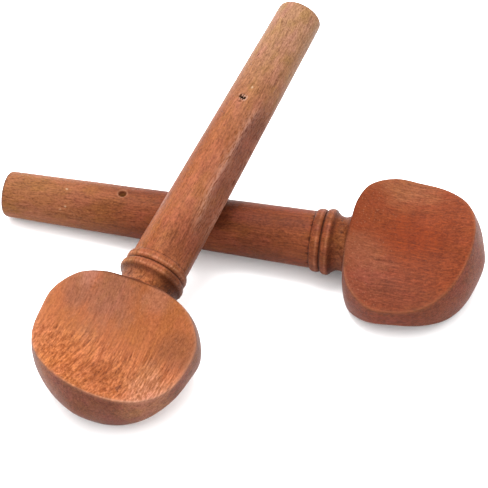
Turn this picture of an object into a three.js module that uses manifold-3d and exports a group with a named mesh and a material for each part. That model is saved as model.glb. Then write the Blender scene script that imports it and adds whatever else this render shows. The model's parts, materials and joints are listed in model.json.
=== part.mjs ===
// A pair of turned wooden tuning pegs for a bowed string instrument, lying crossed.
//
// Each peg is one piece of wood: a tapered round shank with a string hole, a collar of two
// beads and a cove, and a round thumb head whose two sides are hollowed to dished faces.
// The lower peg lies on the ground. The upper peg lies across it and its head is on the ground.
//
// Millimetres, +Z up. The origin is on the ground, under the middle of the pair.
// A peg's own frame has its origin at the middle of the shank's sawn end, +X along the peg
// towards the head, +Y across the head and +Z square to the head's faces.

import * as THREE from "three";
import { mergeVertices } from "three/addons/utils/BufferGeometryUtils.js";
import Module from "manifold-3d";

// Shank
const PEG_LENGTH = 130;
const SHANK_LENGTH = 84.86;
const TIP_RADIUS = 6.17;
const SHOULDER_RADIUS = 7.61;
const TIP_ROUNDING = 1.2;

// Collar: two beads, then a cove that makes the neck. The cove cuts into the second bead.
const BEAD_WIDTH = 2.78;
const SMALL_BEAD_HEIGHT = 0.74;
const LARGE_BEAD_HEIGHT = 1.07;
const BEAD_STEP = 0.11;
const COVE_START = 90.2;
const COVE_WIDTH = 4.45;
const COVE_DEPTH = 1.1;
const NECK_RADIUS = 7.1;

// Thumb head: an outline of revolution, as distances from the head's centre.
// The angle is counted round from the far end, in degrees.
const HEAD_CENTRE = 110;
const HEAD_OUTLINE = [
  [0, 20.0],
  [18, 19.45],
  [36, 19.68],
  [54, 20.32],
  [72, 20.75],
  [90, 21.05],
  [108, 22.16],
  [126, 21.43],
  [141, 19.34],
];

// Dished faces: each is cut by a drum that lies across the head and grows wider to its ends.
// The drum's own sizes are each peg's, because the faces are carved by hand.
const DRUM_HALF_LENGTH = 28;

// String hole, drilled across the shank
const STRING_HOLE_RADIUS = 0.95;

// Each peg: where the middle of its sawn end is and how the peg is turned, in degrees;
// where its string hole is along the shank and how far that is off square, in degrees;
// and its face: half the head's thickness at the hollow's deepest point, where that is along
// the peg, the drum's radius, how fast the drum widens, and its twist off square, in degrees.
const LOWER_PEG = {
  tip: [-62.5, 18.8, 6.13],
  yaw: -14.19,
  pitch: 2.0,
  roll: 6.27,
  hole: { along: 32.9, turn: -8.5 },
  face: { halfThickness: 5.89, along: 110.2, radius: 39, crown: 0.0066, twist: -0.9 },
};
const UPPER_PEG = {
  tip: [17.77, 56.23, 35.16],
  yaw: -117.45,
  pitch: -11.86,
  roll: -1.67,
  hole: { along: 33.9, turn: 5.1 },
  face: { halfThickness: 4.72, along: 110.5, radius: 32.6, crown: 0.0033, twist: -8.7 },
};

// Fineness of the faceted solids
const ROUND_SEGMENTS = 48;
const DRUM_SEGMENTS = 96;
const DRUM_STATIONS = 12;
const ARC_STEPS = 3;
const BEAD_STEPS = 6;
const COVE_STEPS = 6;
const HEAD_STEPS = 22;
const HOLE_SEGMENTS = 16;

const radians = THREE.MathUtils.degToRad;
const wasm = await Module();
wasm.setup();

// A profile point: x along the peg's axis, y its radius there
const at = (along, radius) => new THREE.Vector2(radius, along);

function tipPoints() {
  const points = [at(0, 0)];
  for (let i = 0; i <= ARC_STEPS; i++) {
    const turn = (i / ARC_STEPS) * (Math.PI / 2);
    const along = TIP_ROUNDING * (1 - Math.cos(turn));
    points.push(at(along, TIP_RADIUS - TIP_ROUNDING * (1 - Math.sin(turn))));
  }
  return points;
}

// A bead is half an ellipse standing on a base that may step outwards
function beadPoints(start, baseStart, baseEnd, height) {
  const points = [];
  for (let i = 0; i < BEAD_STEPS; i++) {
    const turn = (i / BEAD_STEPS) * Math.PI;
    const share = (1 - Math.cos(turn)) / 2;
    const base = THREE.MathUtils.lerp(baseStart, baseEnd, share);
    points.push(at(start + share * BEAD_WIDTH, base + height * Math.sin(turn)));
  }
  return points;
}

// The cove is a shallow parabola, deepest at the neck. Its last point starts the head.
function covePoints() {
  const points = [];
  for (let i = 0; i < COVE_STEPS; i++) {
    const share = i / COVE_STEPS;
    const offMiddle = 2 * share - 1;
    const radius = NECK_RADIUS + COVE_DEPTH * offMiddle * offMiddle;
    points.push(at(COVE_START + share * COVE_WIDTH, radius));
  }
  return points;
}

// The head's outline is a smooth curve from the cove round to the far end, on the axis.
// It runs on past the axis as its own mirror image, so that it crosses the axis squarely.
function headPoints() {
  const polar = HEAD_OUTLINE.map(([degrees, distance]) => {
    const turn = radians(degrees);
    return at(HEAD_CENTRE + distance * Math.cos(turn), distance * Math.sin(turn));
  });
  const [, next] = polar;
  const mirrored = at(next.y, -next.x);
  const coveEnd = at(COVE_START + COVE_WIDTH, NECK_RADIUS + COVE_DEPTH);
  const curve = new THREE.SplineCurve([mirrored, ...polar, coveEnd]);
  const first = 1 / (HEAD_OUTLINE.length + 1);
  const points = [];
  for (let i = 0; i <= HEAD_STEPS; i++) {
    points.push(curve.getPoint(1 - (i / HEAD_STEPS) * (1 - first)));
  }
  points[HEAD_STEPS] = at(PEG_LENGTH, 0);
  return points;
}

function pegProfile() {
  const grooveRadius = SHOULDER_RADIUS + BEAD_STEP;
  const secondStart = SHANK_LENGTH + BEAD_WIDTH;
  const secondBead = beadPoints(secondStart, grooveRadius, grooveRadius, LARGE_BEAD_HEIGHT);
  return [
    ...tipPoints(),
    ...beadPoints(SHANK_LENGTH, SHOULDER_RADIUS, grooveRadius, SMALL_BEAD_HEIGHT),
    ...secondBead.filter((point) => point.y < COVE_START),
    ...covePoints(),
    ...headPoints(),
  ];
}

// Turned on the lathe: the profile goes round the peg's own X axis
function turnedBlank() {
  const blank = new THREE.LatheGeometry(pegProfile(), ROUND_SEGMENTS);
  return blank.rotateZ(-Math.PI / 2);
}

// The drum lies along Y, above the face that it cuts. side is 1 for the upper face.
function faceDrum(face, side) {
  const points = [new THREE.Vector2(0, -DRUM_HALF_LENGTH)];
  for (let i = 0; i <= DRUM_STATIONS; i++) {
    const across = THREE.MathUtils.lerp(-DRUM_HALF_LENGTH, DRUM_HALF_LENGTH, i / DRUM_STATIONS);
    points.push(new THREE.Vector2(face.radius + face.crown * across * across, across));
  }
  points.push(new THREE.Vector2(0, DRUM_HALF_LENGTH));
  const drum = new THREE.LatheGeometry(points, DRUM_SEGMENTS);
  drum.rotateZ(radians(face.twist));
  return drum.translate(face.along, 0, side * (face.halfThickness + face.radius));
}

function stringDrill(hole) {
  const length = 4 * SHOULDER_RADIUS;
  const drill = new THREE.CylinderGeometry(
    STRING_HOLE_RADIUS, STRING_HOLE_RADIUS, length, HOLE_SEGMENTS);
  return drill.rotateX(Math.PI / 2 + radians(hole.turn)).translate(hole.along, 0, 0);
}

function toSolid(geometry) {
  const bare = geometry.clone();
  bare.deleteAttribute("normal");
  bare.deleteAttribute("uv");
  const merged = mergeVertices(bare, 1e-4);
  return new wasm.Manifold(new wasm.Mesh({
    numProp: 3,
    vertProperties: Float32Array.from(merged.attributes.position.array),
    triVerts: Uint32Array.from(merged.index.array),
  }));
}

function toGeometry(solid) {
  const mesh = solid.getMesh();
  const geometry = new THREE.BufferGeometry();
  geometry.setAttribute("position", new THREE.BufferAttribute(mesh.vertProperties, 3));
  geometry.setIndex(new THREE.BufferAttribute(mesh.triVerts, 1));
  geometry.computeVertexNormals();
  return geometry;
}

function tuningPeg(name, colour, peg) {
  const cutters = [faceDrum(peg.face, 1), faceDrum(peg.face, -1), stringDrill(peg.hole)];
  const solid = cutters.reduce(
    (wood, cutter) => wood.subtract(toSolid(cutter)), toSolid(turnedBlank()));
  const wood = new THREE.MeshStandardMaterial({ color: colour, roughness: 0.55, metalness: 0 });
  const mesh = new THREE.Mesh(toGeometry(solid), wood);
  mesh.name = name;
  const placed = new THREE.Group();
  placed.position.set(...peg.tip);
  placed.rotation.set(radians(peg.roll), radians(-peg.pitch), radians(peg.yaw), "ZYX");
  placed.add(mesh);
  return placed;
}

const pegPair = new THREE.Group();
pegPair.add(tuningPeg("lower_peg", 0xa05a38, LOWER_PEG));
pegPair.add(tuningPeg("upper_peg", 0xc07a50, UPPER_PEG));

export default pegPair;
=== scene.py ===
"""Two wooden cello tuning pegs lying crossed on a pale table.

Each peg is one mesh, made in the peg's own frame: +X runs along the peg from the sawn end of
the shank to the far end of the head, +Y across the head and +Z square to the head's faces.
Sizes in that frame are in millimetres until the mesh is made; Blender itself works in metres.
"""
import json
import math

import bmesh
import bpy
import numpy as np
from mathutils import Matrix, Vector, noise


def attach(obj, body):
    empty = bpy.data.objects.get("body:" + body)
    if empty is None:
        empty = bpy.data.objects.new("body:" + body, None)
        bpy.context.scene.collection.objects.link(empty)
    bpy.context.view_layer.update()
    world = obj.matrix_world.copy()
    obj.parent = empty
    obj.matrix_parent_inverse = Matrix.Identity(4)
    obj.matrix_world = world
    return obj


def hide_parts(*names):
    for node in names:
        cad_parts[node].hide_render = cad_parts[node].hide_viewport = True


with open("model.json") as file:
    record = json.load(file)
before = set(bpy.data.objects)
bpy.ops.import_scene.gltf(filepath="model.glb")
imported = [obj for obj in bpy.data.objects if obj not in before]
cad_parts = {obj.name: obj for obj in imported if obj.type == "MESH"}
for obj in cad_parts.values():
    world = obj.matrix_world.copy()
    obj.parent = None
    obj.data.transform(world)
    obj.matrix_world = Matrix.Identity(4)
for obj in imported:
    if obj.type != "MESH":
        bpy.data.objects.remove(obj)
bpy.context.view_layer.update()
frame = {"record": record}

MM = 0.001

# The turned profile, the same for both pegs
PEG_LENGTH = 130.0
SHANK_LENGTH = 84.86
TIP_RADIUS = 6.17
SHOULDER_RADIUS = 7.61
TIP_ROUNDING = 1.2
BEAD_WIDTH = 2.78
SMALL_BEAD_HEIGHT = 0.74
LARGE_BEAD_HEIGHT = 1.07
BEAD_STEP = 0.11
COVE_START = 90.2
COVE_WIDTH = 4.45
COVE_DEPTH = 1.1
NECK_RADIUS = 7.1
HEAD_START = COVE_START + COVE_WIDTH
HEAD_CENTRE = 110.0
STRING_HOLE_RADIUS = 0.95

# The head's outline: the angle from the far end, in degrees, and the distance from the centre
HEAD_OUTLINE = (
    (0, 20.0), (18, 19.45), (36, 19.68), (54, 20.32), (72, 20.75),
    (90, 21.05), (108, 22.16), (126, 21.43), (141, 19.34),
)

# What is each peg's own: how it is rolled, its string hole, its dished faces, the strip that a
# file has left flat along the upper shank, where the hand-shaped head is fuller than the turned
# outline, the splinters at the mouths of the string hole, and the seed of its unevenness.
# A bulge is its angle from the far end and its spread, in degrees, and how much fuller it makes
# the +Y and the -Y side. A splinter is its foot and its point, each along and across the peg
# from the middle of the hole.
LOWER_PEG = {
    "node": "lower_peg",
    "mount": "lower_peg_end",
    "slot": "dark_peg_wood",
    "roll": 6.27,
    "hole": {"along": 32.9, "turn": -8.5, "chamfer": 0.50},
    "face": {"half": 5.89, "along": 110.2, "radius": 39.0, "crown": 0.0066, "twist": -0.9},
    "flat": None,
    "bulges": ((30.0, 22.0, 0.55, 0.30), (128.0, 14.0, 0.1, 0.35)),
    "splinters": (),
    "seed": 3.0,
}
UPPER_PEG = {
    "node": "upper_peg",
    "mount": "upper_peg_end",
    "slot": "light_peg_wood",
    "roll": -1.67,
    "hole": {"along": 33.9, "turn": 5.1, "chamfer": 0.22},
    "face": {"half": 4.72, "along": 110.5, "radius": 32.6, "crown": 0.0033, "twist": -8.7},
    "flat": {"turn": 24.0, "depth": 0.95, "start": 26.0, "full": 44.0, "fade": 60.0, "end": 83.0},
    "bulges": ((36.0, 20.0, 0.45, -0.15),),
    "splinters": (
        (-1.0, -0.30, -0.10, -0.24), (-1.0, 0.32, 0.12, 0.28), (-0.8, 0.72, -0.25, 0.66),
        (1.0, -0.62, 0.22, -0.56), (1.1, -0.10, 0.36, 0.02), (0.9, 0.55, 0.45, 0.50),
    ),
    "seed": 11.0,
}

# Fineness of the visible surface
COLUMNS = 224
END_STEPS = 8
SHANK_STEPS = 83
BEAD_STEPS = 18
COVE_STEPS = 18
HEAD_STEPS_PER_SPAN = 16
HOLE_SIDES = 40
SPLINTER_SIDES = 6

# Rows of the second bead that are nearer than this to the cove are left out
LEAST_ROW_GAP = 0.05

# How rounded the cut edges are: the upper faces', the worn lower faces' and the filed strip's
EDGE_SOFTNESS = 0.40
WORN_SOFTNESS = 1.3
FLAT_SOFTNESS = 0.30

# Where along the peg the faces' cut and the head's bulges begin
FACE_START = HEAD_START - 0.3
BULGE_START = HEAD_START + 0.2

# How uneven the turned and the carved surface are: how much, and how far apart. The turned one
# is even near the axis. A head's two faces take their unevenness from places that lie apart.
TURNED_DEPTH, TURNED_SIZE, TURNED_FADE = 0.04, 9.0, (0.5, 3.0)
CARVED_DEPTH, CARVED_SIZE, CARVED_SEED = 0.07, 11.0, 7.0
FACES_APART = 30.0

# The nicks torn out where the shank meets the bead: where, how wide and how deep; and the noise
# that breaks them up: its size, its stretch along the peg, its radius, and where it shows
TORN_AT, TORN_WIDTH, TORN_DEPTH = SHANK_LENGTH - 0.1, 0.32, 0.16
TORN_SIZE, TORN_STRETCH, TORN_RADIUS = 0.9, 0.6, 9.0
TORN_RANGE = (0.05, 0.35)

# A splinter's half thickness at shares of its length, and how far its point is above its foot
SPLINTER_GIRTHS = ((0.0, 0.27), (0.3, 0.25), (0.65, 0.19), (1.0, 0.06))
SPLINTER_RISE = 0.2

# How far the cones that open the string hole run on past the surface
DRILL_CLEARANCE = 2.0

# Masks of the filed strip: the depth that shows, its soft edge, how wide the painted highlight on
# the ridges beside it is, and how much sooner that highlight ends where the surface drops
FLAT_SHOWS = (0.05, 0.80)
FLAT_EDGE = (0.02, 0.16)
RIDGE_WIDTHS = (0.15, 0.8)
RIDGE_INWARDS = 1.4

# Masks of the dished faces: the face itself, its edge, and a wider border just inside the edge
FACE_EDGE = (0.1, 0.5)
# The edge takes a pale tone: partly wear, partly a painted highlight.
EDGE_WIDTH = 0.4
# The border takes a painted highlight.
BORDER_WIDTH, BORDER_DEPTH = 2.2, 0.3

# Mask of the painted shade on the head's wall beside the neck: where along the peg it is; how far
# off the axis and how far below the face its foot and its top are; and how thick the top is marked
WALL_START = (HEAD_START - 1.0, HEAD_START - 0.45)
WALL_END = HEAD_START + 6.0
FOOT_SPREAD, FOOT_BELOW = (8.9, 10.2), (0.15, 0.45)
TOP_SPREAD, TOP_BELOW = (13.5, 15.5), (0.25, 0.90)
TOP_THICKNESS = 0.32

# The photograph's view
AIM = Vector((1.27, 4.64, 0.0)) * MM
CAMERA_ELEVATION = 49.233
CAMERA_ROLL = -0.925
CAMERA_DISTANCE = 578.0 * MM
CAMERA_LENS = 158.9
CAMERA_SENSOR = 36.0

# The light tent: the way to its brightest side, how bright it is there and opposite, and the
# cosine to that side at which the brightness stops changing
TENT_BRIGHT_SIDE = (-0.15, 0.40, 0.90)
TENT_BRIGHT = 2.5
TENT_DIM = 0.15
TENT_REACH = 0.9

# The soft box in the tent, in metres and watts, and the table
SOFT_BOX_PLACE = (-0.12, 0.30, 0.95)
SOFT_BOX_SIZE = 0.60
SOFT_BOX_POWER = 17.0
TABLE_HALF_SIZE = 1.5
TABLE_TONE = (0.95, 0.95, 0.955, 1.0)

# How many times brighter than its own colour a level matt surface looks under the lights
LIGHT_LEVEL = 3.5


# ---------------------------------------------------------------- profile

def blend_between(low, high, value):
    """0 below low, 1 above high, smooth between."""
    share = np.clip((value - low) / (high - low), 0.0, 1.0)
    return share * share * (3.0 - 2.0 * share)


def soft_min(a, b, softness):
    """The smaller of a and b, with the corner between them rounded."""
    near = np.maximum(softness - np.abs(a - b), 0.0) / softness
    return np.minimum(a, b) - near * near * softness / 4.0


def end_rows():
    """The sawn end and its rounded edge."""
    flat = TIP_RADIUS - TIP_ROUNDING
    rows = [(0.0, flat * share) for share in (0.2, 0.4, 0.6, 0.8)]
    for turn in np.linspace(0.0, math.pi / 2, END_STEPS + 1):
        along = TIP_ROUNDING * (1.0 - math.cos(turn))
        rows.append((along, flat + TIP_ROUNDING * math.sin(turn)))
    return rows


def shank_rows():
    """The taper, without the rows at its ends."""
    rows = []
    for along in np.linspace(TIP_ROUNDING, SHANK_LENGTH, SHANK_STEPS + 1)[1:-1]:
        share = along / SHANK_LENGTH
        rows.append((along, TIP_RADIUS + (SHOULDER_RADIUS - TIP_RADIUS) * share))
    return rows


def bead_rows(start, base_start, base_end, height):
    """Half an ellipse standing on a base that may step outwards."""
    rows = []
    for turn in np.linspace(0.0, math.pi, BEAD_STEPS + 1)[:-1]:
        share = (1.0 - math.cos(turn)) / 2.0
        base = base_start + (base_end - base_start) * share
        rows.append((start + share * BEAD_WIDTH, base + height * math.sin(turn)))
    return rows


def cove_rows():
    """A shallow parabola, deepest at the neck."""
    rows = []
    for share in np.linspace(0.0, 1.0, COVE_STEPS + 1)[:-1]:
        off_middle = 2.0 * share - 1.0
        radius = NECK_RADIUS + COVE_DEPTH * off_middle * off_middle
        rows.append((COVE_START + share * COVE_WIDTH, radius))
    return rows


def curve_point(points, span, share):
    """A point on the smooth curve through points, in the span after points[span]."""
    p0, p1, p2, p3 = (points[i] for i in (span - 1, span, span + 1, min(span + 2, len(points) - 1)))
    s2, s3 = share * share, share ** 3
    return 0.5 * (2 * p1 + (p2 - p0) * share
                  + (2 * p0 - 5 * p1 + 4 * p2 - p3) * s2 + (3 * p1 - p0 - 3 * p2 + p3) * s3)


def head_rows():
    """The head's outline of revolution, from the cove to just short of the axis."""
    points = []
    for degrees, distance in HEAD_OUTLINE:
        turn = math.radians(degrees)
        points.append(np.array((HEAD_CENTRE + distance * math.cos(turn), distance * math.sin(turn))))
    points.insert(0, points[1] * (1.0, -1.0))
    points.append(np.array((HEAD_START, NECK_RADIUS + COVE_DEPTH)))
    rows = []
    for span in range(len(points) - 2, 0, -1):
        for step in range(HEAD_STEPS_PER_SPAN):
            rows.append(curve_point(points, span, 1.0 - step / HEAD_STEPS_PER_SPAN))
    return rows


def peg_rows():
    """The whole turned profile, as rows of distance along the peg and radius."""
    groove = SHOULDER_RADIUS + BEAD_STEP
    second_bead = bead_rows(SHANK_LENGTH + BEAD_WIDTH, groove, groove, LARGE_BEAD_HEIGHT)
    return np.array([
        *end_rows(),
        *shank_rows(),
        *bead_rows(SHANK_LENGTH, SHOULDER_RADIUS, groove, SMALL_BEAD_HEIGHT),
        *(row for row in second_bead if row[0] < COVE_START - LEAST_ROW_GAP),
        *cove_rows(),
        *head_rows(),
    ])


# ---------------------------------------------------------------- peg mesh

def waves(along, across, up, size, seed):
    """Smooth noise from -1 to 1 at each point, with features about size millimetres across."""
    grid = np.stack(np.broadcast_arrays(along, across, up), -1)
    values = [noise.noise(Vector(point)) for point in grid.reshape(-1, 3) / size + seed]
    return np.array(values).reshape(grid.shape[:-1])


def hump(value, centre, width):
    """A smooth bump from 0 to 1 and back."""
    return np.exp(-((value - centre) / width) ** 2)


def face_height(peg, along, across):
    """Height of the dished face above the head's middle plane."""
    face = peg["face"]
    turn = math.radians(face["twist"])
    u = (along - face["along"]) * math.cos(turn) + across * math.sin(turn)
    v = across * math.cos(turn) - (along - face["along"]) * math.sin(turn)
    radius = face["radius"] + face["crown"] * v * v
    return face["half"] + face["radius"] - np.sqrt(np.maximum(radius * radius - u * u, 0.0))


def flat_depth(flat, along):
    """How deep the filed strip is at each distance along the peg."""
    depth = flat["depth"] * blend_between(flat["start"], flat["full"], along)
    return depth * (1.0 - blend_between(flat["fade"], flat["end"], along))


def file_flat(flat, along, radius, across, up):
    """Cuts a long flat strip off the side of the shank."""
    turn = math.radians(flat["turn"])
    depth = flat_depth(flat, along)
    outwards = across * math.cos(turn) + up * math.sin(turn)
    cut = soft_min(outwards, radius - depth, FLAT_SOFTNESS)
    shift = np.where(depth > 0.0, cut - outwards, 0.0)
    return across + shift * math.cos(turn), up + shift * math.sin(turn)


def torn_groove(along, turns, seed):
    """How deep the turning tool has torn where the shank meets the bead, from 0 to 1."""
    across, up = TORN_RADIUS * np.cos(turns), TORN_RADIUS * np.sin(turns)
    rough = waves(along * TORN_STRETCH, across, up, TORN_SIZE, seed)
    return hump(along, TORN_AT, TORN_WIDTH) * blend_between(*TORN_RANGE, rough)


def add_bulges(bulges, along, body, angle, turns):
    """Makes the head fuller, away from its centre."""
    sideways = np.cos(turns)
    for at, spread, left, right in bulges:
        amount = np.where(sideways > 0.0, left, right) * sideways * sideways
        amount = amount * hump(np.degrees(angle), at, spread) * (along > BULGE_START)
        along = along + amount * np.cos(angle)
        body = body + amount * np.sin(angle)
    return along, body


def peg_surface(peg):
    """Grid of points: rows along the peg, columns round it."""
    rows = peg_rows()
    turns = np.linspace(0.0, 2.0 * math.pi, COLUMNS, endpoint=False)
    along = np.repeat(rows[:, :1], COLUMNS, axis=1)
    radius = np.repeat(rows[:, 1:], COLUMNS, axis=1)
    uneven = waves(along, radius * np.cos(turns), radius * np.sin(turns), TURNED_SIZE, peg["seed"])
    body = radius + TURNED_DEPTH * uneven * blend_between(*TURNED_FADE, radius)
    body = body - TORN_DEPTH * torn_groove(along, turns, peg["seed"])
    angle = np.arctan2(radius, along - HEAD_CENTRE)
    along, body = add_bulges(peg["bulges"], along, body, angle, turns)
    across = body * np.cos(turns)
    up = body * np.sin(turns)
    if peg["flat"]:
        across, up = file_flat(peg["flat"], along, radius, across, up)
    side = np.sign(up)
    carved = waves(along, across, side * FACES_APART, CARVED_SIZE, peg["seed"] + CARVED_SEED)
    height = face_height(peg, along, across) + CARVED_DEPTH * carved
    softness = np.where(side > 0.0, EDGE_SOFTNESS, WORN_SOFTNESS)
    cut_up = side * soft_min(np.abs(up), height, softness)
    up = np.where(rows[:, :1] > FACE_START, cut_up, up)
    return np.stack((along, across, up), -1)


def grid_mesh(name, points, first_pole, last_pole):
    """A closed mesh of rings of points, with a pole at each end."""
    rows, columns = points.shape[:2]
    vertices = np.concatenate((points.reshape(-1, 3), [first_pole, last_pole]))
    first, last = rows * columns, rows * columns + 1
    end = (rows - 1) * columns
    faces = []
    for column in range(columns):
        after = (column + 1) % columns
        faces.append((first, after, column))
        faces.append((last, end + column, end + after))
        for here in range(0, end, columns):
            there = here + columns
            faces.append((here + column, here + after, there + after, there + column))
    mesh = bpy.data.meshes.new(name)
    mesh.from_pydata((vertices * MM).tolist(), [], faces)
    mesh.shade_smooth()
    return mesh


def as_object(mesh):
    """Links a mesh into the scene as an object of the same name."""
    made = bpy.data.objects.new(mesh.name, mesh)
    bpy.context.scene.collection.objects.link(made)
    return made


def cut_away(target, cutter_mesh):
    """Subtracts a closed mesh from target, for good."""
    cutter = as_object(cutter_mesh)
    cut = target.modifiers.new("cut", "BOOLEAN")
    cut.operation = "DIFFERENCE"
    cut.solver = "EXACT"
    cut.object = cutter
    graph = bpy.context.evaluated_depsgraph_get()
    result = bpy.data.meshes.new_from_object(target.evaluated_get(graph))
    target.modifiers.clear()
    target.data = result
    bpy.data.objects.remove(cutter)


def ring(level, radius, sides):
    """Points round the Z axis."""
    turns = np.linspace(0.0, 2.0 * math.pi, sides, endpoint=False)
    return [(radius * math.cos(turn), radius * math.sin(turn), level) for turn in turns]


def splinter_mesh(ends, level):
    """A sliver of wood that reaches in over the mouth of the hole."""
    foot = Vector((ends[0], ends[1], level))
    point = Vector((ends[2], ends[3], level + SPLINTER_RISE))
    run = point - foot
    sideways = Vector((-run.y, run.x, 0.0)).normalized()
    rings = []
    for share, girth in SPLINTER_GIRTHS:
        offsets = ring(0.0, girth, SPLINTER_SIDES)
        middle = foot + run * share
        rings.append([middle + sideways * a + Vector((0.0, 0.0, b)) for a, b, _ in offsets])
    return grid_mesh("splinter", np.array(rings), foot, point)


def drill_mesh(peg):
    """The string hole: a straight drill, opened a little at both mouths."""
    hole = peg["hole"]
    surface = TIP_RADIUS + (SHOULDER_RADIUS - TIP_RADIUS) * hole["along"] / SHANK_LENGTH
    mouth, clear = surface - hole["chamfer"], surface + DRILL_CLEARANCE
    wide = STRING_HOLE_RADIUS + DRILL_CLEARANCE
    stations = (
        (-clear, wide), (-mouth, STRING_HOLE_RADIUS), (0.0, STRING_HOLE_RADIUS),
        (mouth, STRING_HOLE_RADIUS), (clear, wide),
    )
    points = np.array([ring(level, radius, HOLE_SIDES) for level, radius in stations])
    drill = as_object(grid_mesh("drill", points, (0.0, 0.0, -clear), (0.0, 0.0, clear)))
    for ends in peg["splinters"]:
        cut_away(drill, splinter_mesh(ends, mouth - SPLINTER_RISE))
    mesh = drill.data
    bpy.data.objects.remove(drill)
    tilt = Matrix.Rotation(math.radians(hole["turn"]), 4, "X")
    mesh.transform(Matrix.Translation((hole["along"] * MM, 0.0, 0.0)) @ tilt)
    return mesh


def peg_place(peg):
    """The peg's own frame in the part's frame, from its end mount and its roll."""
    mount = next(m for m in frame["record"]["mounts"] if m["name"] == peg["mount"])
    forward = -Vector(mount["axis"]).normalized()
    level = Vector((-forward.y, forward.x, 0.0)).normalized()
    turned = Matrix((forward, level, forward.cross(level))).transposed().to_4x4()
    roll = Matrix.Rotation(math.radians(peg["roll"]), 4, "X")
    return Matrix.Translation(mount["pos_m"]) @ turned @ roll


def flat_masks(flat, along, across, up, outer, inside):
    """Where the filed strip is, and how near a point is to the ridges beside it, which take a
    painted highlight.
    """
    turn = math.radians(flat["turn"])
    depth = flat_depth(flat, along)
    short = outer - depth - across * math.cos(turn) - up * math.sin(turn)
    there = blend_between(*FLAT_SHOWS, depth)
    on_flat = there * (1.0 - blend_between(*FLAT_EDGE, short))
    off_ridge = RIDGE_INWARDS * inside + np.maximum(short, 0.0)
    ridge = sum(np.exp(-off_ridge / width) for width in RIDGE_WIDTHS) / len(RIDGE_WIDTHS)
    return {"flat": on_flat, "ridge": there * ridge}


def wall_shade_mask(profile, along, spread, below):
    """Painted shade on the head's wall beside the neck, in the corner where the neck meets the head:
    round the wall's foot, and along its top, where it meets the face."""
    beside_neck = blend_between(*WALL_START, along) * (along < WALL_END)
    wall = profile[(profile[:, 0] >= HEAD_START) & (profile[:, 0] < WALL_END)]
    past_wall = np.maximum(along - np.interp(spread, wall[:, 1], wall[:, 0]), 0.0)
    foot = (1.0 - blend_between(*FOOT_SPREAD, spread)) * blend_between(*FOOT_BELOW, below)
    top = hump(past_wall, 0.0, TOP_THICKNESS) * (1.0 - blend_between(*TOP_SPREAD, spread))
    top = top * (1.0 - blend_between(*TOP_BELOW, below))
    return beside_neck * np.maximum(foot, top)


def peg_masks(peg, place):
    """Which worked surface each point is on, and how near it is to that surface's edges."""
    along, across, up = place.T
    profile = peg_rows()
    outer = np.interp(along, profile[:, 0], profile[:, 1])
    spread = np.hypot(across, up)
    inside = np.maximum(outer - spread, 0.0)
    below = np.maximum(face_height(peg, along, across) - np.abs(up), 0.0)
    on_head = along > FACE_START
    masks = {
        "face": on_head * (1.0 - blend_between(*FACE_EDGE, below)),
        # the face's edge takes wear and a painted highlight
        "face_edge": on_head * np.exp(-(inside + below) / EDGE_WIDTH),
        # the border just inside the face's edge takes a painted highlight
        "face_border": on_head * np.exp(-(inside / BORDER_WIDTH + below / BORDER_DEPTH)),
        # the wall beside the neck takes painted shade
        "neck_wall": wall_shade_mask(profile, along, spread, below),
        "torn": torn_groove(along, np.arctan2(up, across), peg["seed"]),
    }
    if peg["flat"]:
        masks.update(flat_masks(peg["flat"], along, across, up, outer, inside))
    return masks


def store_masks(mesh, peg):
    """Stores at each vertex its masks, and its place in the peg's own frame in millimetres."""
    place = np.empty(len(mesh.vertices) * 3)
    mesh.vertices.foreach_get("co", place)
    place = place.reshape(-1, 3) / MM
    for name, values in peg_masks(peg, place).items():
        attribute = mesh.attributes.new(name, "FLOAT", "POINT")
        attribute.data.foreach_set("value", values.astype(np.float32))
    attribute = mesh.attributes.new("place", "FLOAT_VECTOR", "POINT")
    attribute.data.foreach_set("vector", place.ravel().astype(np.float32))


def make_peg(peg, material):
    """One peg: its turned and carved surface with the string hole cut through it."""
    mesh = grid_mesh(peg["node"] + "_wood", peg_surface(peg), (0, 0, 0), (PEG_LENGTH, 0, 0))
    made = as_object(mesh)
    cut_away(made, drill_mesh(peg))
    made.data.materials.clear()
    made.data.materials.append(material)
    store_masks(made.data, peg)
    made.data.transform(peg_place(peg))
    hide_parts(peg["node"])
    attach(made, peg["node"])


# ---------------------------------------------------------------- tones and marks of the wood

def tone(red, green, blue):
    """The wood's own colour, from how it looks under the lights as 0 to 255 in sRGB."""
    channels = (value / 255.0 for value in (red, green, blue))
    linear = [c / 12.92 if c <= 0.04045 else ((c + 0.055) / 1.055) ** 2.4 for c in channels]
    return (*(value / LIGHT_LEVEL for value in linear), 1.0)


# Tints that multiply the colour under them
ROSY_TINT = (1.10, 1.04, 1.28, 1.0)
GOLDEN_TINT = (0.94, 0.99, 0.76, 1.0)
FIGURE_DARK = (0.74, 0.64, 0.50, 1.0)
FIGURE_LIGHT = (1.26, 1.34, 1.46, 1.0)
GRAIN_DARK = (0.45, 0.36, 0.30, 1.0)
GRAIN_LIGHT = (1.55, 1.64, 1.70, 1.0)
# a painted highlight on the border just inside the face's edge
BORDER_HIGHLIGHT = (1.30, 1.45, 1.75, 1.0)
# a painted highlight on the beads' crests
CREST_HIGHLIGHT = (1.55, 2.0, 2.6, 1.0)

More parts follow.
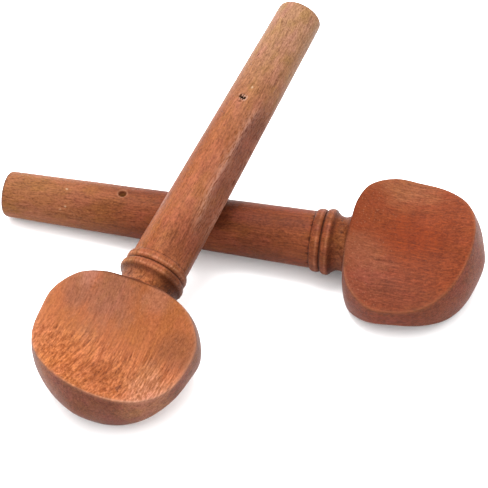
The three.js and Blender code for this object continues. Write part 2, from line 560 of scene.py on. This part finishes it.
# The noises in the wood: features per millimetre along, across and up, what is added to the
# wood's seed, the detail and the roughness. The first five follow the grain as it wanders.
# A seed moves a noise along each axis by itself times SEED_STEPS.
GRAIN_NOISES = {
    "bands": ((0.02, 0.15, 0.15), 0.0, 2.0, 0.5),
    "streaks": ((0.11, 1.8, 1.8), 5.0, 2.0, 0.55),
    "lines": ((0.07, 1.7, 1.7), 7.0, 2.0, 0.6),
    "fibres": ((0.50, 2.8, 2.8), 9.0, 3.0, 0.65),
    "pores": ((0.70, 5.0, 5.0), 13.0, 1.0, 0.5),
}
PLACE_NOISES = {
    "rosy": ((0.11, 0.20, 0.20), 17.0, 3.0, 0.6),
    "golden": ((0.13, 0.24, 0.24), 29.0, 3.0, 0.6),
    "speckle": ((1.6, 2.2, 2.2), 21.0, 2.0, 0.7),
    "flecks": ((0.8, 0.9, 0.9), 25.0, 2.0, 0.7),
    "dust": ((2.4, 2.4, 2.4), 41.0, 1.0, 0.5),
    "curl": ((0.55, 0.07, 0.07), 33.0, 1.0, 0.5),
}
SEED_STEPS = (1.0, 1.7, 2.3)

# How the grain wanders: bends per millimetre, and how far they push it, in millimetres
WANDER_SCALE = (0.035, 0.08, 0.08)
WANDER_SIZE = (4.0, 5.0, 5.0)

# Where a noise begins to show and where it shows in full
BAND_RANGE = (0.36, 0.64)
CLOUD_RANGE = (0.44, 0.68)
PORE_RANGE = (0.60, 0.70)
DUST_RANGE = (0.66, 0.72)
FLAT_CLOUDS = (0.35, 0.60)
CREST_FLECKS = (0.38, 0.58)
CHIP_FLECKS = (0.42, 0.58)
RIDGE_FIBRES = (0.41, 0.54)

# Regions along the peg: where the rim, the tan end, the end grain, the neck and the dust are
RIM_RANGE = (94.0, 97.0)
TAN_START = 4.0
END_GRAIN_RANGE = (0.15, 1.1)
NECK_AT, NECK_WIDTH = 92.6, 2.6
DUST_FADES = (98.0, 112.0)

# How much of its own tone each region or mark takes
REGION_SHARES = {"tan": 0.8, "face": 0.9, "rim": 0.85, "neck": 0.8}
FLAT_SHARES = (0.95, 0.70)
CLOUDS_ON_FACE = 0.5
PORES_ON_FACE = 0.25
PORE_SHARE = 0.35
TORN_SHARE = 0.85
END_SHARE = 0.6
DUST_LEAST = 0.1

# The streaked figure: how much it shows where it is least, and how far its outline wanders
FIGURE_LEAST = 0.12
FIGURE_WANDER = 10.0

# How strongly each noise shows as grain; the flecks show at the neck and, less so, on the rim
GRAIN_WEIGHTS = {"fibres": 1.10, "speckle": 1.10, "lines": 0.80}
FLECK_WEIGHT = 2.2
FLECKS_ON_RIM = 0.45

# Patches and spots: how distances are weighted along, across and up, the share of the size that
# takes the tone in full, and how ragged the outline is
PATCH_FORM = {"weights": (0.75, 1.0, 0.5), "core": 0.25, "ragged": 1.2}
SPOT_FORM = {"weights": (0.7, 1.0, 0.6), "core": 0.4, "ragged": 2.0}

# Painted shade in the collar's grooves and where the cove begins: where, how wide and how much
GROOVE_SHADES = ((84.85, 0.32, 0.6), (87.75, 0.60, 0.75), (90.5, 0.75, 0.45))

# Painted highlights on the beads' crests, and the least that shows of them and of the strip's ridges
CRESTS = (86.65, 89.4)
CREST_WIDTH = 0.5
CREST_LEAST = 0.3
RIDGE_LEAST = 0.1

# The string hole: how far off its axis and how far from its middle the splinters' and the bore's
# tones are, and how much they show; and how wide the chips round it are
SPLINTER_REACH, SPLINTER_LEVEL, SPLINTER_SHARE = (0.90, 0.96), (6.0, 6.2), 0.7
BORE_REACH, BORE_LEVEL, BORE_SHARE = (0.93, 1.02), (5.3, 6.0), 0.9
CHIP_WIDTH = 0.34

# Relief and gloss: how much each noise adds to the height and to the roughness
FIBRE_HEIGHT, SPECKLE_HEIGHT, PORE_HEIGHT = 0.6, 0.3, -0.6
BUMP_STRENGTH, BUMP_DISTANCE = 0.7, 0.15 * MM
ROSY_ROUGHNESS, FIBRE_ROUGHNESS = 0.25, 0.2

# Each wood: its seed and roughness, how strong its marks are, painted shade and painted highlights
# among them, how far its tan end reaches, its streaked figure, its tones, and the patches and spots
# that can be told apart by eye, a few of them painted shade and painted highlights. The chips round
# the string hole have the radius they lie at and the least that shows of them. Only the light wood
# has a filed strip, and so the tones "flat" and "ridge", the last a painted highlight.
DARK_WOOD = {
    "seed": 0.0,
    "roughness": 0.26,
    "chips": {"radius": 1.30, "least": 0.5},
    "dust": 0.5,
    "face_grain": 0.60,
    "face_edge": 0.32,
    "face_border": 0.15,
    "neck_wall": 0.40,
    "tan_length": 46.0,
    "figured": {"along": (96.0, 108.0), "slant": 0.0, "strength": 0.3, "curl": 0.35},
    "dark": tone(142, 70, 42),
    "light": tone(166, 88, 54),
    "tan": tone(191, 123, 80),
    "face": tone(154, 70, 34),
    "rim": tone(152, 78, 54),
    "neck": tone(138, 70, 34),
    "pore": tone(70, 28, 14),
    "end": tone(90, 62, 50),
    "worn_and_highlight": tone(204, 140, 104),
    "bore": tone(225, 150, 84),
    "patches": (
        {"at": (108.0, 17.0, 5.5), "size": 9.0, "share": 0.75, "colour": tone(174, 104, 66)},
        # painted shadow of the upper peg, cast on the lower shank beside the crossing
        {"at": (70.0, -8.5, 0.0), "size": 9.0, "share": 0.4, "colour": tone(100, 50, 32)},
        {"at": (101.5, -13.5, 6.5), "size": 10.0, "share": 0.6, "colour": tone(162, 86, 66)},
        {"at": (99.0, -7.0, 7.0), "size": 9.0, "share": 0.7, "colour": tone(166, 94, 64)},
        {"at": (112.0, -16.0, 5.0), "size": 9.0, "share": 0.7, "colour": tone(142, 70, 44)},
        {"at": (112.0, 1.0, 6.0), "size": 10.0, "share": 0.85, "colour": tone(150, 58, 12)},
    ),
    "spots": (
        {"at": (17.7, -0.2, 6.5), "size": 0.35, "share": 0.75, "colour": tone(236, 190, 150)},
        {"at": (18.3, -4.5, 4.7), "size": 0.30, "share": 0.75, "colour": tone(230, 184, 146)},
        {"at": (16.9, -5.2, 3.9), "size": 0.30, "share": 0.75, "colour": tone(230, 184, 146)},
    ),
}
LIGHT_WOOD = {
    "seed": 40.0,
    "roughness": 0.24,
    "chips": {"radius": 1.22, "least": 0.05},
    "dust": 0.15,
    "face_grain": 0.70,
    "face_edge": 0.45,
    "face_border": 0.5,
    "neck_wall": 0.85,
    "tan_length": 54.0,
    "figured": {"along": (108.5, 114.0), "slant": 0.06, "strength": 1.0, "curl": 0.0},
    "dark": tone(173, 96, 56),
    "light": tone(192, 112, 70),
    "tan": tone(204, 154, 116),
    "face": tone(202, 116, 66),
    # darker than the face: partly the wood's own tone at the rim, partly painted shade on the sides
    # facing down, away from the lights
    "rim": tone(146, 82, 60),
    "neck": tone(176, 100, 50),
    "flat": tone(142, 68, 42),
    "pore": tone(104, 50, 28),
    "end": tone(124, 76, 50),
    "worn_and_highlight": tone(236, 180, 152),
    # a painted highlight along the filed strip's ridge
    "ridge": tone(242, 180, 154),
    # painted shade inside the string hole
    "bore": tone(64, 20, 10),
    "patches": (
        {"at": (100.0, -5.0, 7.0), "size": 10.0, "share": 0.75, "colour": tone(176, 112, 86)},
        # these two are painted highlights along the filed strip's ridge
        {"at": (66.0, 2.5, 6.8), "size": 8.0, "share": 0.4, "colour": tone(206, 124, 88)},
        {"at": (54.0, 3.5, 6.2), "size": 5.0, "share": 0.35, "colour": tone(206, 126, 92)},
        {"at": (77.0, 6.0, 4.0), "size": 9.0, "share": 0.6, "colour": tone(136, 70, 46)},
        # painted shade on the shaded side of the cove, below the second bead
        {"at": (91.4, 7.4, 1.5), "size": 5.5, "share": 0.75, "colour": tone(96, 40, 18)},
        {"at": (107.5, 17.5, 4.5), "size": 7.0, "share": 0.6, "colour": tone(160, 94, 62)},
        {"at": (101.5, -13.8, 5.0), "size": 6.5, "share": 0.6, "colour": tone(170, 108, 84)},
        # a painted highlight along the face's top edge by the neck
        {"at": (96.5, -12.5, 8.0), "size": 4.5, "share": 0.7, "colour": tone(208, 136, 108)},
        {"at": (97.0, 7.0, 8.5), "size": 5.0, "share": 0.5, "colour": tone(206, 134, 104)},
        {"at": (120.5, 15.0, 5.0), "size": 8.0, "share": 0.6, "colour": tone(216, 142, 104)},
        {"at": (120.0, 2.0, 6.0), "size": 4.5, "share": 0.65, "colour": tone(168, 86, 42)},
        {"at": (121.0, -8.0, 6.5), "size": 7.0, "share": 0.5, "colour": tone(216, 122, 64)},
    ),
    "spots": (
        {"at": (122.0, 8.5, 6.2), "size": 0.9, "share": 0.75, "colour": tone(104, 52, 36)},
        {"at": (30.2, 0.5, 6.7), "size": 0.35, "share": 0.75, "colour": tone(244, 206, 170)},
        {"at": (19.8, -2.9, 5.8), "size": 0.35, "share": 0.75, "colour": tone(96, 56, 40)},
        {"at": (35.4, -0.5, 6.7), "size": 0.50, "share": 0.75, "colour": tone(120, 66, 32)},
    ),
}


# ---------------------------------------------------------------- wood

class Nodes:
    """Short calls for building a material's node tree."""

    def __init__(self, tree):
        self.tree = tree
        self.tree.nodes.clear()

    def add(self, kind, inputs=(), **settings):
        node = self.tree.nodes.new(kind)
        for name, value in settings.items():
            setattr(node, name, value)
        for socket, value in dict(inputs).items():
            self.set(node.inputs[socket], value)
        return node

    def set(self, socket, value):
        """Links a socket into another, or gives it a plain value."""
        if isinstance(value, bpy.types.NodeSocket):
            self.tree.links.new(value, socket)
        else:
            socket.default_value = value

    def math(self, operation, *values):
        node = self.add("ShaderNodeMath", dict(enumerate(values)), operation=operation)
        return node.outputs[0]

    def multiply(self, *values):
        result = values[0]
        for value in values[1:]:
            result = self.math("MULTIPLY", result, value)
        return result

    def weighted(self, base, *terms):
        """Base plus each value times its weight."""
        for value, weight in terms:
            base = self.math("MULTIPLY_ADD", value, weight, base)
        return base

    def sway(self, base, *terms):
        """Base plus how far each noise is above its middle, 0.5, times its weight."""
        for value, weight in terms:
            base = self.math("MULTIPLY_ADD", self.math("SUBTRACT", value, 0.5), weight, base)
        return base

    def vector(self, operation, first, second):
        node = self.add("ShaderNodeVectorMath", {0: first, 1: second}, operation=operation)
        return node.outputs["Value" if operation == "DOT_PRODUCT" else "Vector"]

    def noise(self, coordinates, scale, seed, detail, roughness):
        """Noise with features 1/scale millimetres long. Scale is one number for each axis."""
        place = self.vector("MULTIPLY", coordinates, scale)
        place = self.vector("ADD", place, [seed * step for step in SEED_STEPS])
        node = self.add("ShaderNodeTexNoise", {
            "Vector": place, "Scale": 1.0, "Detail": detail, "Roughness": roughness,
        })
        return node.outputs["Fac"]

    def ramp(self, value, low, high, bottom=0.0, top=1.0):
        """Value remapped with smooth ends: bottom at low, top at high."""
        node = self.add("ShaderNodeMapRange", {
            "Value": value, "From Min": low, "From Max": high, "To Min": bottom, "To Max": top,
        }, interpolation_type="SMOOTHSTEP")
        return node.outputs["Result"]

    def length(self, vector):
        node = self.add("ShaderNodeVectorMath", {0: vector}, operation="LENGTH")
        return node.outputs["Value"]

    def hump(self, value, centre, width):
        """1 at centre, falling smoothly to 0 at width to either side."""
        off = self.math("ABSOLUTE", self.math("SUBTRACT", value, centre))
        return self.ramp(off, 0.0, width, 1.0, 0.0)

    def mix(self, share, first, second, blend_type="MIX"):
        """First with share of second laid over it."""
        node = self.add("ShaderNodeMix", data_type="RGBA", blend_type=blend_type)
        colours = [socket for socket in node.inputs if socket.type == "RGBA"]
        self.set(node.inputs[0], share)
        self.set(colours[0], first)
        self.set(colours[1], second)
        return next(socket for socket in node.outputs if socket.type == "RGBA")

    def mask(self, name):
        """A mask stored on the mesh by store_masks."""
        return self.add("ShaderNodeAttribute", attribute_name=name).outputs["Fac"]


def wood_noises(n, seed):
    """Where a point is in the peg's own frame, and every noise there."""
    place = n.add("ShaderNodeAttribute", attribute_name="place").outputs["Vector"]
    axes = n.add("ShaderNodeSeparateXYZ", {"Vector": place})
    at = {"place": place, "along": axes.outputs["X"], "across": axes.outputs["Y"]}
    wander = n.add("ShaderNodeTexNoise", {
        "Vector": n.vector("MULTIPLY", place, WANDER_SCALE), "Scale": 1.0, "Detail": 1.0,
    }).outputs["Color"]
    bend = n.vector("MULTIPLY", n.vector("SUBTRACT", wander, (0.5, 0.5, 0.5)), WANDER_SIZE)
    grain = n.vector("ADD", place, bend)
    for coordinates, noises in ((grain, GRAIN_NOISES), (place, PLACE_NOISES)):
        for name, (scale, offset, detail, roughness) in noises.items():
            at[name] = n.noise(coordinates, scale, seed + offset, detail, roughness)
    return at


def wood_regions(n, wood, at):
    """What part of the peg a point is on. Each is 1 there and fades to 0 elsewhere."""
    face = n.mask("face")
    seen = n.ramp(face, 0.0, 1.0, 1.0, PORES_ON_FACE)
    return {
        "face": face,
        "rim": n.multiply(n.ramp(at["along"], *RIM_RANGE), n.math("SUBTRACT", 1.0, face)),
        "tan": n.ramp(at["along"], TAN_START, wood["tan_length"], 1.0, 0.0),
        "end": n.ramp(at["along"], *END_GRAIN_RANGE, 1.0, 0.0),
        "neck": n.hump(at["along"], NECK_AT, NECK_WIDTH),
        "pore": n.multiply(n.ramp(at["pores"], *PORE_RANGE), seen),
    }


def add_blotches(n, colour, blotches, form, place, noise_here):
    """Patches or spots of another tone, with ragged outlines."""
    for blotch in blotches:
        size = blotch["size"]
        off = n.vector("MULTIPLY", n.vector("SUBTRACT", place, blotch["at"]), form["weights"])
        off = n.sway(n.length(off), (noise_here, size * form["ragged"]))
        share = n.ramp(off, size * form["core"], size, blotch["share"], 0.0)
        colour = n.mix(share, colour, blotch["colour"])
    return colour


def broad_colour(n, wood, at, regions):
    """The wood's colour, from the whole blank down to its patches and clouds."""
    colour = n.mix(n.ramp(at["bands"], *BAND_RANGE), wood["dark"], wood["light"])
    for name, share in REGION_SHARES.items():
        colour = n.mix(n.multiply(regions[name], share), colour, wood[name])
    if "flat" in wood:
        flat = n.multiply(n.mask("flat"), n.ramp(at["rosy"], *FLAT_CLOUDS, *FLAT_SHARES))
        colour = n.mix(flat, colour, wood["flat"])
    colour = add_blotches(n, colour, wood["patches"], PATCH_FORM, at["place"], at["rosy"])
    clouded = n.ramp(regions["face"], 0.0, 1.0, 1.0, CLOUDS_ON_FACE)
    for name, tint in (("rosy", ROSY_TINT), ("golden", GOLDEN_TINT)):
        share = n.multiply(n.ramp(at[name], *CLOUD_RANGE), clouded)
        colour = n.mix(share, colour, tint, "MULTIPLY")
    return colour


def add_grain(n, colour, wood, at, regions):
    """The streaked figure of the faces, then fibres, pores and dust."""
    figured = wood["figured"]
    reach = n.sway(at["along"], (at["golden"], FIGURE_WANDER))
    reach = n.weighted(reach, (at["across"], figured["slant"]))
    streaked = n.multiply(n.ramp(reach, *figured["along"], FIGURE_LEAST, 1.0), regions["face"])
    figure = n.mix(n.ramp(at["streaks"], *BAND_RANGE), FIGURE_DARK, FIGURE_LIGHT)
    colour = n.mix(n.multiply(streaked, figured["strength"]), colour, figure, "MULTIPLY")

    grainy = n.sway(0.5, *((at[name], weight) for name, weight in GRAIN_WEIGHTS.items()))
    curled = n.multiply(streaked, figured["curl"])
    flecked = n.multiply(n.weighted(regions["neck"], (regions["rim"], FLECKS_ON_RIM)), FLECK_WEIGHT)
    grainy = n.sway(grainy, (at["curl"], curled), (at["flecks"], flecked))
    grain = n.mix(grainy, GRAIN_DARK, GRAIN_LIGHT)
    plain_face = n.multiply(regions["face"], n.math("SUBTRACT", 1.0, streaked))
    strength = n.ramp(plain_face, 0.0, 1.0, 1.0, wood["face_grain"])
    colour = n.mix(strength, colour, grain, "MULTIPLY")
    colour = n.mix(n.multiply(regions["pore"], PORE_SHARE), colour, wood["pore"])

    dusty = n.ramp(at["along"], *DUST_FADES, wood["dust"], DUST_LEAST)
    dusty = n.multiply(n.ramp(at["dust"], *DUST_RANGE), dusty, regions["face"])
    return n.mix(dusty, colour, wood["worn_and_highlight"])


def add_wear_shade_and_highlights(n, colour, wood, at, regions):
    """Painted shade in the grooves and beside the neck; painted highlights on the crests, the face's
    border, the face's edge (there with wear) and the strip's ridge; the torn nicks and the sawn end.
    """
    # Painted shade in the collar's grooves and where the cove begins
    for groove_at, width, share in GROOVE_SHADES:
        groove = n.multiply(n.hump(at["along"], groove_at, width), share)
        colour = n.mix(groove, colour, wood["pore"])
    # Painted highlights along the beads' crests
    crests = n.math("MAXIMUM", *(n.hump(at["along"], crest, CREST_WIDTH) for crest in CRESTS))
    crests = n.multiply(crests, n.ramp(at["flecks"], *CREST_FLECKS, CREST_LEAST, 1.0))
    colour = n.mix(crests, colour, CREST_HIGHLIGHT, "MULTIPLY")
    colour = n.mix(n.multiply(n.mask("torn"), TORN_SHARE), colour, wood["pore"])
    colour = n.mix(n.multiply(regions["end"], END_SHARE), colour, wood["end"])
    # A painted highlight on the border just inside the face's edge
    border = n.multiply(n.mask("face_border"), wood["face_border"])
    colour = n.mix(border, colour, BORDER_HIGHLIGHT, "MULTIPLY")
    # A pale tone along the face's edge: partly wear, partly a painted highlight
    colour = n.mix(n.multiply(n.mask("face_edge"), wood["face_edge"]), colour, wood["worn_and_highlight"])
    # Painted shade on the head's wall beside the neck
    colour = n.mix(n.multiply(n.mask("neck_wall"), wood["neck_wall"]), colour, wood["pore"])
    # A painted highlight along the filed strip's ridge
    if "ridge" in wood:
        ridge = n.ramp(at["fibres"], *RIDGE_FIBRES, RIDGE_LEAST, 1.0)
        colour = n.mix(n.multiply(n.mask("ridge"), ridge), colour, wood["ridge"])
    return colour


def bore_place(n, place, hole):
    """How far a point is from the axis of the string hole, and how far along that axis."""
    turn = math.radians(hole["turn"])
    axis = (0.0, -math.sin(turn), math.cos(turn))
    off = n.vector("SUBTRACT", place, (hole["along"], 0.0, 0.0))
    level = n.math("ABSOLUTE", n.vector("DOT_PRODUCT", place, axis))
    return n.length(n.vector("CROSS_PRODUCT", off, axis)), level


def add_hole_marks(n, colour, wood, at, hole):
    """Pale splinters and chips round the string hole, and the tone of the bore, on the light peg a
    painted shade.
    """
    off_axis, level = bore_place(n, at["place"], hole)
    splintered = n.ramp(level, *SPLINTER_LEVEL, 0.0, SPLINTER_SHARE)
    splintered = n.multiply(n.ramp(off_axis, *SPLINTER_REACH, 1.0, 0.0), splintered)
    chipped = n.ramp(at["flecks"], *CHIP_FLECKS, wood["chips"]["least"], 1.0)
    chipped = n.multiply(n.hump(off_axis, wood["chips"]["radius"], CHIP_WIDTH), chipped)
    colour = n.mix(n.math("MAXIMUM", splintered, chipped), colour, wood["worn_and_highlight"])
    # The bore's tone; on the light peg it is painted shade
    in_bore = n.ramp(off_axis, *BORE_REACH, BORE_SHARE, 0.0)
    in_bore = n.multiply(in_bore, n.ramp(level, *BORE_LEVEL, 1.0, 0.0))
    return n.mix(in_bore, colour, wood["bore"])


def wood_material(name, wood, hole):
    """Close-grained turned wood. The grain runs along the peg's own X axis."""
    material = bpy.data.materials.new(name)
    material.use_nodes = True
    n = Nodes(material.node_tree)
    at = wood_noises(n, wood["seed"])
    regions = wood_regions(n, wood, at)
    colour = broad_colour(n, wood, at, regions)
    colour = add_grain(n, colour, wood, at, regions)
    colour = add_wear_shade_and_highlights(n, colour, wood, at, regions)
    colour = add_hole_marks(n, colour, wood, at, hole)
    colour = add_blotches(n, colour, wood["spots"], SPOT_FORM, at["place"], at["speckle"])

    height = n.multiply(regions["pore"], PORE_HEIGHT)
    height = n.weighted(height, (at["fibres"], FIBRE_HEIGHT), (at["speckle"], SPECKLE_HEIGHT))
    bump = n.add("ShaderNodeBump", {
        "Height": height, "Strength": BUMP_STRENGTH, "Distance": BUMP_DISTANCE,
    })
    gloss = ((at["fibres"], FIBRE_ROUGHNESS), (at["rosy"], ROSY_ROUGHNESS))
    shader = n.add("ShaderNodeBsdfPrincipled", {
        "Base Color": colour,
        "Roughness": n.weighted(wood["roughness"], *gloss),
        "Normal": bump.outputs["Normal"],
        "Specular IOR Level": 0.04,
        "Sheen Weight": 0.02,
        "Sheen Roughness": 0.4,
    })
    n.add("ShaderNodeOutputMaterial", {"Surface": shader.outputs["BSDF"]})
    return material


# ---------------------------------------------------------------- stage, lights and camera

def make_floor():
    """A plain white table."""
    mesh = bpy.data.meshes.new("table_top")
    shape = bmesh.new()
    bmesh.ops.create_grid(shape, x_segments=1, y_segments=1, size=TABLE_HALF_SIZE)
    shape.to_mesh(mesh)
    shape.free()
    floor = as_object(mesh)
    material = bpy.data.materials.new("white_table")
    material.use_nodes = True
    n = Nodes(material.node_tree)
    shader = n.add("ShaderNodeBsdfPrincipled", {
        "Base Color": TABLE_TONE, "Roughness": 0.9, "Specular IOR Level": 0.1,
    })
    n.add("ShaderNodeOutputMaterial", {"Surface": shader.outputs["BSDF"]})
    mesh.materials.append(material)


def make_soft_box():
    """A square soft box that faces the pegs."""
    data = bpy.data.lights.new("soft_box", "AREA")
    data.shape = "SQUARE"
    data.size = SOFT_BOX_SIZE
    data.energy = SOFT_BOX_POWER
    light = bpy.data.objects.new("soft_box", data)
    light.location = SOFT_BOX_PLACE
    light.rotation_euler = (-Vector(SOFT_BOX_PLACE)).to_track_quat("-Z", "Y").to_euler()
    bpy.context.scene.collection.objects.link(light)


def make_tent():
    """A white tent all round, brightest above and behind on the left."""
    world = bpy.data.worlds.new("studio")
    world.use_nodes = True
    n = Nodes(world.node_tree)
    direction = n.add("ShaderNodeTexCoord").outputs["Generated"]
    towards = n.vector("DOT_PRODUCT", direction, Vector(TENT_BRIGHT_SIDE).normalized())
    strength = n.ramp(towards, -TENT_REACH, TENT_REACH, TENT_DIM, TENT_BRIGHT)
    background = n.add("ShaderNodeBackground", {"Color": (1.0, 1.0, 1.0, 1.0), "Strength": strength})
    n.add("ShaderNodeOutputWorld", {"Surface": background.outputs["Background"]})
    bpy.context.scene.world = world
    bpy.context.scene.view_settings.view_transform = "Standard"


def make_camera():
    """The photograph's viewpoint."""
    data = bpy.data.cameras.new("camera")
    data.sensor_width = CAMERA_SENSOR
    data.lens = CAMERA_LENS
    elevation = math.radians(CAMERA_ELEVATION)
    back = Vector((0.0, -math.cos(elevation), math.sin(elevation)))
    camera = bpy.data.objects.new("camera", data)
    camera.rotation_mode = "QUATERNION"
    level = (-back).to_track_quat("-Z", "Y")
    roll = Matrix.Rotation(math.radians(CAMERA_ROLL), 3, back).to_quaternion()
    camera.rotation_quaternion = roll @ level
    camera.location = AIM + back * CAMERA_DISTANCE
    bpy.context.scene.collection.objects.link(camera)
    bpy.context.scene.camera = camera


make_camera()
make_peg(LOWER_PEG, wood_material("dark_peg_wood", DARK_WOOD, LOWER_PEG["hole"]))
make_peg(UPPER_PEG, wood_material("light_peg_wood", LIGHT_WOOD, UPPER_PEG["hole"]))
make_floor()
make_soft_box()
make_tent()
